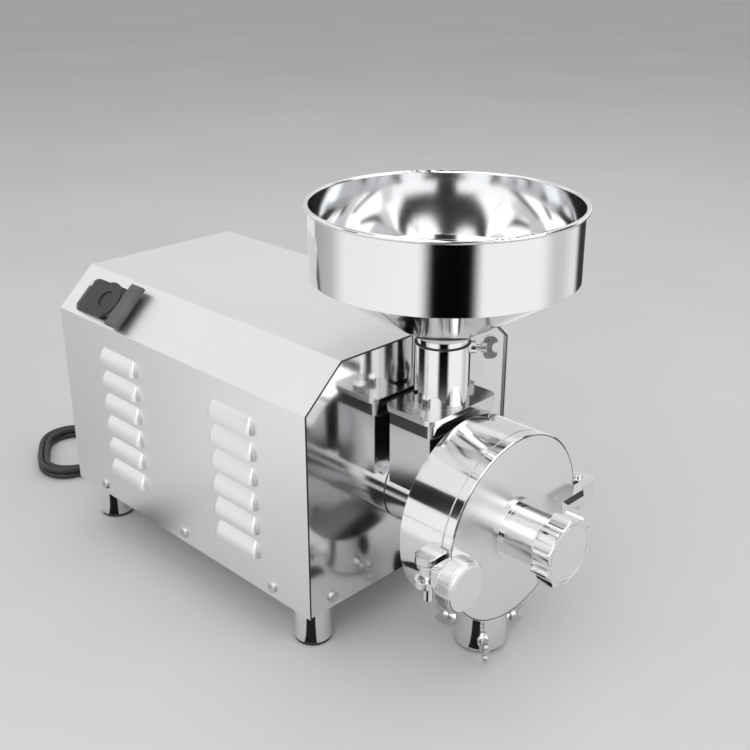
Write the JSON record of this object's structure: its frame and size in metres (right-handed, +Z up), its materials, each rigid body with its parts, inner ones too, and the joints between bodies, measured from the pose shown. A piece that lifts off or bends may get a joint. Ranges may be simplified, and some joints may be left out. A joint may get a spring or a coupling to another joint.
{
  "type": "electric flour mill",
  "caption": "Bench stone mill: louvred steel cabinet with motor, hopper over a round grinding drum, hinged clamped cover with fineness knob, flour spout and mains lead.",
  "frame": {"origin": "on the floor, under the middle of the machine's bounding box, the free cord left out", "axes": "+X along the drive shaft from the rear panel to the fineness knob, +Z up; the switch is on the -Y side"},
  "size_m": [0.7868, 0.293, 0.427],
  "materials": {
    "satin_steel": "satin brushed stainless sheet",
    "mirror_steel": "mirror polished stainless",
    "machined_steel": "turned and ground steel",
    "zinc_steel": "zinc plated fastener steel",
    "cast_grey": "cast iron, painted grey",
    "motor_paint": "satin grey blue paint",
    "copper_winding": "varnished copper wire and core",
    "black_rubber": "matte black rubber",
    "black_plastic": "satin black moulded plastic",
    "grey_plastic": "satin grey moulded plastic",
    "stone": "bonded abrasive millstone",
    "spider_red": "polyurethane",
    "capacitor_shell": "white plastic",
    "cord_black": "matte black cord jacket"
  },
  "bodies": {
    "root": {"cabinet_shell": "satin_steel", "front_panel": "mirror_steel", "rear_panel": "satin_steel", "base_tray": "satin_steel", "feet": "satin_steel", "foot_pads": "black_rubber", "cabinet_screws": "zinc_steel", "motor_frame": "motor_paint", "motor_stator": "copper_winding", "motor_end_shields": "motor_paint", "motor_bearings": "machined_steel", "fan_cowl": "motor_paint", "base_bolts": "zinc_steel", "terminal_box": "black_plastic", "run_capacitor": "capacitor_shell", "bearing_housing": "cast_grey", "spindle_bearings": "machined_steel", "shaft_seal": "black_rubber", "neck_housing": "mirror_steel", "feed_collar": "machined_steel", "feed_tube": "mirror_steel", "feed_bolts": "zinc_steel", "drum": "mirror_steel", "clamp_post": "machined_steel", "hinge_pin": "machined_steel", "outlet_spout": "mirror_steel", "switch_base": "grey_plastic", "switch_body": "black_plastic", "switch_screws": "zinc_steel", "cord_gland": "black_rubber", "cord_lead": "cord_black", "cord_coil": "cord_black", "cord_tail": "cord_black", "cord_plug": "black_plastic"},
    "spindle": {"mill_spindle": "machined_steel", "feed_screw": "machined_steel", "rotor_disc": "machined_steel", "rotating_stone": "stone", "spindle_nut": "zinc_steel", "coupling_hubs": "cast_grey", "coupling_spider": "spider_red", "motor_rotor": "machined_steel", "motor_fan": "black_plastic"},
    "cover": {"cover": "mirror_steel", "cover_gasket": "black_rubber", "adjust_hub": "mirror_steel", "clamp_ear": "mirror_steel", "hinge_arm": "mirror_steel"},
    "stone_carrier": {"standing_stone": "stone", "adjust_spindle": "machined_steel"},
    "adjust_knob": {"adjust_knob": "mirror_steel"},
    "clamp_washer": {"clamp_washer": "zinc_steel"},
    "clamp_hand_screw": {"clamp_hand_screw": "mirror_steel"},
    "hopper": {"hopper": "mirror_steel"},
    "hopper_thumbscrew": {"hopper_thumbscrew": "zinc_steel"},
    "outlet_thumbscrew_1": {"outlet_thumbscrew_1": "zinc_steel"},
    "outlet_thumbscrew_2": {"outlet_thumbscrew_2": "zinc_steel"},
    "outlet_thumbscrew_3": {"outlet_thumbscrew_3": "zinc_steel"},
    "switch_handle": {"switch_handle": "grey_plastic", "switch_cap": "black_plastic"}
  },
  "joints": [
    {"name": "spindle_spin", "type": "hinge", "parent": "root", "child": "spindle", "pos_m": [0.18, 0, 0.139], "axis": [1, 0, 0], "continuous": true},
    {"name": "cover_swing", "type": "hinge", "parent": "root", "child": "cover", "pos_m": [0.2244, 0.111, 0.139], "axis": [0, 0, 1], "range_deg": [0, 100]},
    {"name": "stone_advance", "type": "slide", "parent": "cover", "child": "stone_carrier", "axis": [1, 0, 0], "range_m": [0, 0.004]},
    {"name": "adjust_turn", "type": "hinge", "parent": "stone_carrier", "child": "adjust_knob", "pos_m": [0.285, 0, 0.139], "axis": [1, 0, 0], "range_deg": [0, 720]},
    {"name": "clamp_advance", "type": "slide", "parent": "cover", "child": "clamp_washer", "axis": [1, 0, 0], "range_m": [0, 0.01225]},
    {"name": "clamp_turn", "type": "hinge", "parent": "clamp_washer", "child": "clamp_hand_screw", "pos_m": [0.25, -0.1035, 0.139], "axis": [1, 0, 0], "range_deg": [0, 2520]},
    {"name": "hopper_lift", "type": "slide", "parent": "root", "child": "hopper", "axis": [0, 0, 1], "range_m": [0, 0.08]},
    {"name": "hopper_screw_turn", "type": "hinge", "parent": "root", "child": "hopper_thumbscrew", "pos_m": [0.142, 0, 0.291], "axis": [0.7071, 0.7071, 0], "range_deg": [0, 360]},
    {"name": "switch_turn", "type": "hinge", "parent": "root", "child": "switch_handle", "pos_m": [-0.22, -0.12076, 0.27299], "axis": [0, -0.6727, 0.7399], "range_deg": [0, 60]},
    {"name": "outlet_screw_turn_1", "type": "hinge", "parent": "root", "child": "outlet_thumbscrew_1", "pos_m": [0.201, 0, 0.015], "axis": [0.7071, -0.7071, 0], "range_deg": [0, 360]},
    {"name": "outlet_screw_turn_2", "type": "hinge", "parent": "root", "child": "outlet_thumbscrew_2", "pos_m": [0.201, 0, 0.015], "axis": [0.2588, 0.9659, 0], "range_deg": [0, 360]},
    {"name": "outlet_screw_turn_3", "type": "hinge", "parent": "root", "child": "outlet_thumbscrew_3", "pos_m": [0.201, 0, 0.015], "axis": [-0.9659, -0.2588, 0], "range_deg": [0, 360]}
  ],
  "couplings": [
    {"joint": "adjust_turn", "follows": "stone_advance", "rad_per_m": 3141.6},
    {"joint": "clamp_turn", "follows": "clamp_advance", "rad_per_m": 3590.4}
  ]
}
